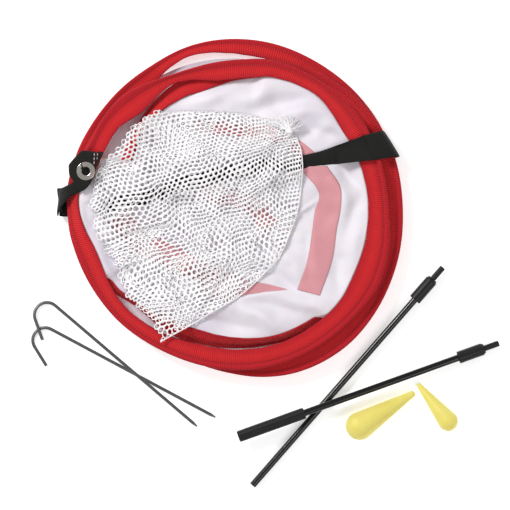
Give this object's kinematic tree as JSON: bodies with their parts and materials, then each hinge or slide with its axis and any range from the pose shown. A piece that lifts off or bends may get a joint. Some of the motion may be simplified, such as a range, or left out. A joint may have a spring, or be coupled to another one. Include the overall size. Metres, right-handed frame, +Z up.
{
  "type": "folded pop-up net kit",
  "caption": "Pop-up hoop net twisted flat into a strapped round bundle, with a mesh pocket, a grommet tab, a two-part pole, wire hook pegs and teardrop floats.",
  "frame": {"origin": "centre of the folded hoop, on the ground that the kit lies on", "axes": "+Z up; +X towards the strap's front end; the poles, pegs and floats lie on the -Y side"},
  "size_m": [0.4212, 0.4043, 0.034],
  "materials": {
    "webbing_red": "matte",
    "panel_white": "matte",
    "ring_pink": "matte",
    "mesh_white": "matte",
    "elastic_black": "matte",
    "spring_steel": "satin",
    "grommet_nickel": "polished",
    "peg_steel": "satin",
    "rod_black": "satin",
    "moulded_black": "matte",
    "float_yellow": "satin"
  },
  "bodies": {
    "net_bundle": {"hoop_wire": "spring_steel", "hoop_sleeve": "spring_steel", "hoop_binding": "webbing_red", "target_panel": "panel_white", "target_ring": "ring_pink", "storage_strap": "elastic_black", "tab_sewn_end": "elastic_black"},
    "tab": {"tab_flap": "elastic_black", "grommet_barrel": "grommet_nickel", "grommet_washer": "grommet_nickel"},
    "pocket": {"pocket_net": "mesh_white", "pocket_tie": "mesh_white"},
    "lower_pole": {"pole_a_rod": "rod_black", "pole_a_fitting": "moulded_black", "pole_a_spigot": "moulded_black"},
    "upper_pole": {"pole_b_rod": "rod_black", "pole_b_ferrule": "moulded_black", "pole_b_fitting": "moulded_black", "pole_b_spigot": "moulded_black"},
    "lower_peg": {"peg_lower": "peg_steel"},
    "upper_peg": {"peg_upper": "peg_steel"},
    "big_float": {"float_large": "float_yellow"},
    "little_float": {"float_small": "float_yellow"}
  },
  "joints": [
    {"name": "tab_fold", "type": "hinge", "parent": "net_bundle", "child": "tab", "pos_m": [-0.11857, 0.0349, 0.02931], "axis": [0.2011, 0.9796, 0], "range_deg": [0, 90]},
    {"name": "pocket_lift", "type": "hinge", "parent": "net_bundle", "child": "pocket", "pos_m": [-0.10596, -0.05251, 0.03311], "axis": [0.444, -0.896, 0], "range_deg": [0, 30]},
    {"name": "lower_pole_lift", "type": "slide", "parent": "net_bundle", "child": "lower_pole", "axis": [0, 0, 1], "range_m": [0, 0.1]},
    {"name": "upper_pole_lift", "type": "slide", "parent": "lower_pole", "child": "upper_pole", "axis": [0, 0, 1], "range_m": [0, 0.1]},
    {"name": "lower_peg_lift", "type": "slide", "parent": "net_bundle", "child": "lower_peg", "axis": [0, 0, 1], "range_m": [0, 0.08]},
    {"name": "upper_peg_lift", "type": "slide", "parent": "lower_peg", "child": "upper_peg", "axis": [0, 0, 1], "range_m": [0, 0.08]},
    {"name": "big_float_lift", "type": "slide", "parent": "net_bundle", "child": "big_float", "axis": [0, 0, 1], "range_m": [0, 0.08]},
    {"name": "little_float_lift", "type": "slide", "parent": "net_bundle", "child": "little_float", "axis": [0, 0, 1], "range_m": [0, 0.08]}
  ]
}
